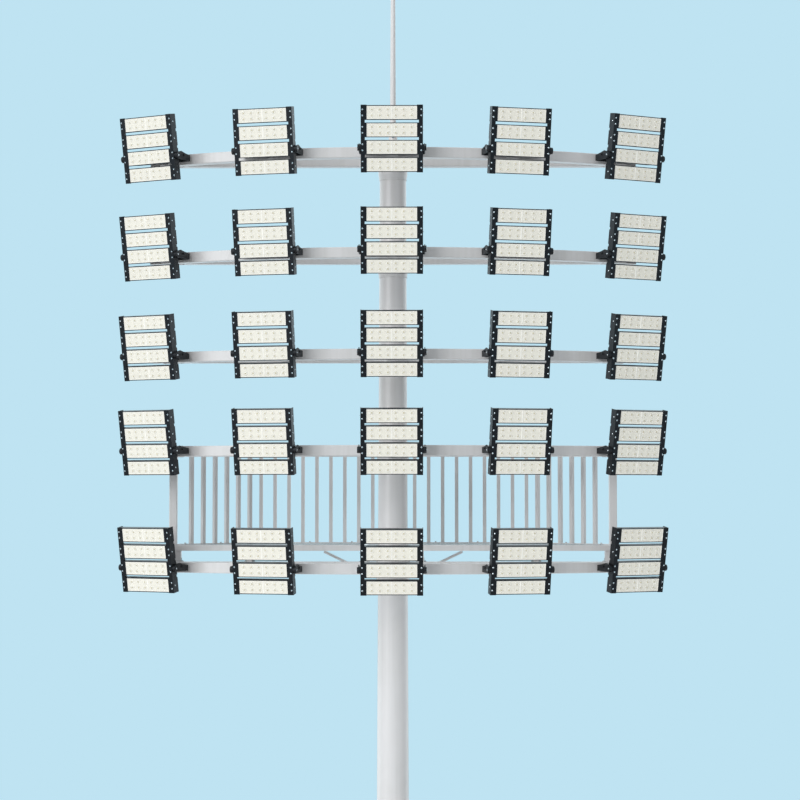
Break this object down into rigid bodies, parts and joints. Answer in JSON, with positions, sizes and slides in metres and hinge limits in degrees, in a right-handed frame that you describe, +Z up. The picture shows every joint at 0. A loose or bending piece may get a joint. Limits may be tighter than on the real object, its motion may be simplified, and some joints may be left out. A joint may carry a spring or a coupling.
{
  "type": "stadium floodlight pylon",
  "caption": "Tapered steel mast with curved lamp frames of tilting four-module floodlights, a railed balcony behind, a ladder and a bolted base flange.",
  "frame": {"origin": "centre of the underside of the base flange, on the mast axis", "axes": "+Z up along the mast, the lamps face -Y, +X to the right for someone who stands in front of them and looks along +Y"},
  "size_m": [6.2616, 2.0458, 22.586],
  "materials": {
    "mast_paint": "satin",
    "galvanised_steel": "hot-dip galvanised",
    "black_steel": "powder coated",
    "lamp_housing": "black anodised",
    "lamp_lens": "clear over white",
    "screw_steel": "polished"
  },
  "bodies": {
    "pylon": {"base_flange": "galvanised_steel", "mast": "mast_paint", "service_door": "mast_paint", "mast_cap": "mast_paint", "lightning_rod": "mast_paint", "frame_collars": "mast_paint", "lamp_frame_1": "mast_paint", "lamp_frame_2": "mast_paint", "lamp_frame_3": "mast_paint", "lamp_frame_4": "mast_paint", "lamp_frame_5": "mast_paint", "lamp_yokes_1": "black_steel", "lamp_yokes_2": "black_steel", "lamp_yokes_3": "black_steel", "lamp_yokes_4": "black_steel", "lamp_yokes_5": "black_steel", "deck_frame": "mast_paint", "deck_grating": "galvanised_steel", "mast_plate": "galvanised_steel", "deck_blocks": "mast_paint", "knee_braces": "mast_paint", "railing_left": "mast_paint", "railing_middle": "mast_paint", "railing_right": "mast_paint", "end_posts": "mast_paint", "ladder": "galvanised_steel", "ladder_brackets": "galvanised_steel"},
    "lamp_r1_c1": {"lamp_r1_c1": "lamp_housing"},
    "lamp_r1_c2": {"lamp_r1_c2": "lamp_housing"},
    "lamp_r1_c3": {"lamp_r1_c3": "lamp_housing"},
    "lamp_r1_c4": {"lamp_r1_c4": "lamp_housing"},
    "lamp_r1_c5": {"lamp_r1_c5": "lamp_housing"},
    "lamp_r2_c1": {"lamp_r2_c1": "lamp_housing"},
    "lamp_r2_c2": {"lamp_r2_c2": "lamp_housing"},
    "lamp_r2_c3": {"lamp_r2_c3": "lamp_housing"},
    "lamp_r2_c4": {"lamp_r2_c4": "lamp_housing"},
    "lamp_r2_c5": {"lamp_r2_c5": "lamp_housing"},
    "lamp_r3_c1": {"lamp_r3_c1": "lamp_housing"},
    "lamp_r3_c2": {"lamp_r3_c2": "lamp_housing"},
    "lamp_r3_c3": {"lamp_r3_c3": "lamp_housing"},
    "lamp_r3_c4": {"lamp_r3_c4": "lamp_housing"},
    "lamp_r3_c5": {"lamp_r3_c5": "lamp_housing"},
    "lamp_r4_c1": {"lamp_r4_c1": "lamp_housing"},
    "lamp_r4_c2": {"lamp_r4_c2": "lamp_housing"},
    "lamp_r4_c3": {"lamp_r4_c3": "lamp_housing"},
    "lamp_r4_c4": {"lamp_r4_c4": "lamp_housing"},
    "lamp_r4_c5": {"lamp_r4_c5": "lamp_housing"},
    "lamp_r5_c1": {"lamp_r5_c1": "lamp_housing"},
    "lamp_r5_c2": {"lamp_r5_c2": "lamp_housing"},
    "lamp_r5_c3": {"lamp_r5_c3": "lamp_housing"},
    "lamp_r5_c4": {"lamp_r5_c4": "lamp_housing"},
    "lamp_r5_c5": {"lamp_r5_c5": "lamp_housing"}
  },
  "joints": [
    {"name": "tilt_r1_c1", "type": "hinge", "parent": "pylon", "child": "lamp_r1_c1", "pos_m": [-2.76839, -0.35548, 20], "axis": [0.8926, -0.4509, 0], "range_deg": [-25, 50]},
    {"name": "tilt_r1_c2", "type": "hinge", "parent": "pylon", "child": "lamp_r1_c2", "pos_m": [-1.42293, -0.84784, 20], "axis": [0.9728, -0.2317, 0], "range_deg": [-25, 50]},
    {"name": "tilt_r1_c3", "type": "hinge", "parent": "pylon", "child": "lamp_r1_c3", "pos_m": [0, -1.015, 20], "axis": [1, 0, 0], "range_deg": [-25, 50]},
    {"name": "tilt_r1_c4", "type": "hinge", "parent": "pylon", "child": "lamp_r1_c4", "pos_m": [1.42293, -0.84784, 20], "axis": [0.9728, 0.2317, 0], "range_deg": [-25, 50]},
    {"name": "tilt_r1_c5", "type": "hinge", "parent": "pylon", "child": "lamp_r1_c5", "pos_m": [2.76839, -0.35548, 20], "axis": [0.8926, 0.4509, 0], "range_deg": [-25, 50]},
    {"name": "tilt_r2_c1", "type": "hinge", "parent": "pylon", "child": "lamp_r2_c1", "pos_m": [-2.76839, -0.35548, 18.87], "axis": [0.8926, -0.4509, 0], "range_deg": [-25, 50]},
    {"name": "tilt_r2_c2", "type": "hinge", "parent": "pylon", "child": "lamp_r2_c2", "pos_m": [-1.42293, -0.84784, 18.87], "axis": [0.9728, -0.2317, 0], "range_deg": [-25, 50]},
    {"name": "tilt_r2_c3", "type": "hinge", "parent": "pylon", "child": "lamp_r2_c3", "pos_m": [0, -1.015, 18.87], "axis": [1, 0, 0], "range_deg": [-25, 50]},
    {"name": "tilt_r2_c4", "type": "hinge", "parent": "pylon", "child": "lamp_r2_c4", "pos_m": [1.42293, -0.84784, 18.87], "axis": [0.9728, 0.2317, 0], "range_deg": [-25, 50]},
    {"name": "tilt_r2_c5", "type": "hinge", "parent": "pylon", "child": "lamp_r2_c5", "pos_m": [2.76839, -0.35548, 18.87], "axis": [0.8926, 0.4509, 0], "range_deg": [-25, 50]},
    {"name": "tilt_r3_c1", "type": "hinge", "parent": "pylon", "child": "lamp_r3_c1", "pos_m": [-2.76839, -0.35548, 17.725], "axis": [0.8926, -0.4509, 0], "range_deg": [-25, 50]},
    {"name": "tilt_r3_c2", "type": "hinge", "parent": "pylon", "child": "lamp_r3_c2", "pos_m": [-1.42293, -0.84784, 17.725], "axis": [0.9728, -0.2317, 0], "range_deg": [-25, 50]},
    {"name": "tilt_r3_c3", "type": "hinge", "parent": "pylon", "child": "lamp_r3_c3", "pos_m": [0, -1.015, 17.725], "axis": [1, 0, 0], "range_deg": [-25, 50]},
    {"name": "tilt_r3_c4", "type": "hinge", "parent": "pylon", "child": "lamp_r3_c4", "pos_m": [1.42293, -0.84784, 17.725], "axis": [0.9728, 0.2317, 0], "range_deg": [-25, 50]},
    {"name": "tilt_r3_c5", "type": "hinge", "parent": "pylon", "child": "lamp_r3_c5", "pos_m": [2.76839, -0.35548, 17.725], "axis": [0.8926, 0.4509, 0], "range_deg": [-25, 50]},
    {"name": "tilt_r4_c1", "type": "hinge", "parent": "pylon", "child": "lamp_r4_c1", "pos_m": [-2.76839, -0.35548, 16.645], "axis": [0.8926, -0.4509, 0], "range_deg": [-25, 50]},
    {"name": "tilt_r4_c2", "type": "hinge", "parent": "pylon", "child": "lamp_r4_c2", "pos_m": [-1.42293, -0.84784, 16.645], "axis": [0.9728, -0.2317, 0], "range_deg": [-25, 50]},
    {"name": "tilt_r4_c3", "type": "hinge", "parent": "pylon", "child": "lamp_r4_c3", "pos_m": [0, -1.015, 16.645], "axis": [1, 0, 0], "range_deg": [-25, 50]},
    {"name": "tilt_r4_c4", "type": "hinge", "parent": "pylon", "child": "lamp_r4_c4", "pos_m": [1.42293, -0.84784, 16.645], "axis": [0.9728, 0.2317, 0], "range_deg": [-25, 50]},
    {"name": "tilt_r4_c5", "type": "hinge", "parent": "pylon", "child": "lamp_r4_c5", "pos_m": [2.76839, -0.35548, 16.645], "axis": [0.8926, 0.4509, 0], "range_deg": [-25, 50]},
    {"name": "tilt_r5_c1", "type": "hinge", "parent": "pylon", "child": "lamp_r5_c1", "pos_m": [-2.76839, -0.35548, 15.32], "axis": [0.8926, -0.4509, 0], "range_deg": [-25, 50]},
    {"name": "tilt_r5_c2", "type": "hinge", "parent": "pylon", "child": "lamp_r5_c2", "pos_m": [-1.42293, -0.84784, 15.32], "axis": [0.9728, -0.2317, 0], "range_deg": [-25, 50]},
    {"name": "tilt_r5_c3", "type": "hinge", "parent": "pylon", "child": "lamp_r5_c3", "pos_m": [0, -1.015, 15.32], "axis": [1, 0, 0], "range_deg": [-25, 50]},
    {"name": "tilt_r5_c4", "type": "hinge", "parent": "pylon", "child": "lamp_r5_c4", "pos_m": [1.42293, -0.84784, 15.32], "axis": [0.9728, 0.2317, 0], "range_deg": [-25, 50]},
    {"name": "tilt_r5_c5", "type": "hinge", "parent": "pylon", "child": "lamp_r5_c5", "pos_m": [2.76839, -0.35548, 15.32], "axis": [0.8926, 0.4509, 0], "range_deg": [-25, 50]}
  ]
}
